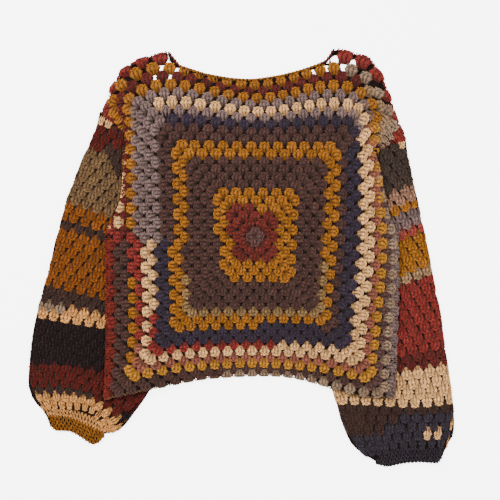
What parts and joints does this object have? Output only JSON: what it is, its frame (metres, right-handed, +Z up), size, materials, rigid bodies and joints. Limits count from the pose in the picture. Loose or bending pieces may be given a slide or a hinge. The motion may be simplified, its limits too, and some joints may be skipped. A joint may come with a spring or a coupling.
{
  "type": "crochet sweater",
  "caption": "Boxy crochet sweater of large granny squares with striped balloon sleeves and a boat neck, laid out flat with its arms down.",
  "frame": {"origin": "centre of the laid-out sweater's footprint, on the surface that it lies on", "axes": "+Z up out of the table, +Y towards the neck, +X towards the wearer's left arm"},
  "size_m": [0.7464, 0.733, 0.0149],
  "materials": {
    "front": "worsted yarn in double crochet clusters, brown with mustard, cream, grey, navy and red rounds",
    "back": "worsted yarn in double crochet clusters, the same rounds as the front",
    "edging": "mustard worsted yarn in single crochet",
    "sleeve_right": "worsted yarn in striped rows of double crochet clusters",
    "sleeve_left": "worsted yarn in striped rows of double crochet clusters",
    "cuff_right": "mustard worsted yarn in single crochet",
    "cuff_left": "dark navy worsted yarn in single crochet"
  },
  "bodies": {
    "root": {"front": "front", "back": "back", "neck_edge_front": "edging", "neck_edge_back": "edging", "sleeve_right_upper": "sleeve_right", "sleeve_right_lower": "sleeve_right", "sleeve_left_upper": "sleeve_left", "sleeve_left_lower": "sleeve_left", "cuff_right_upper": "cuff_right", "cuff_right_lower": "cuff_right", "cuff_left_upper": "cuff_left", "cuff_left_lower": "cuff_left"}
  },
  "joints": []
}
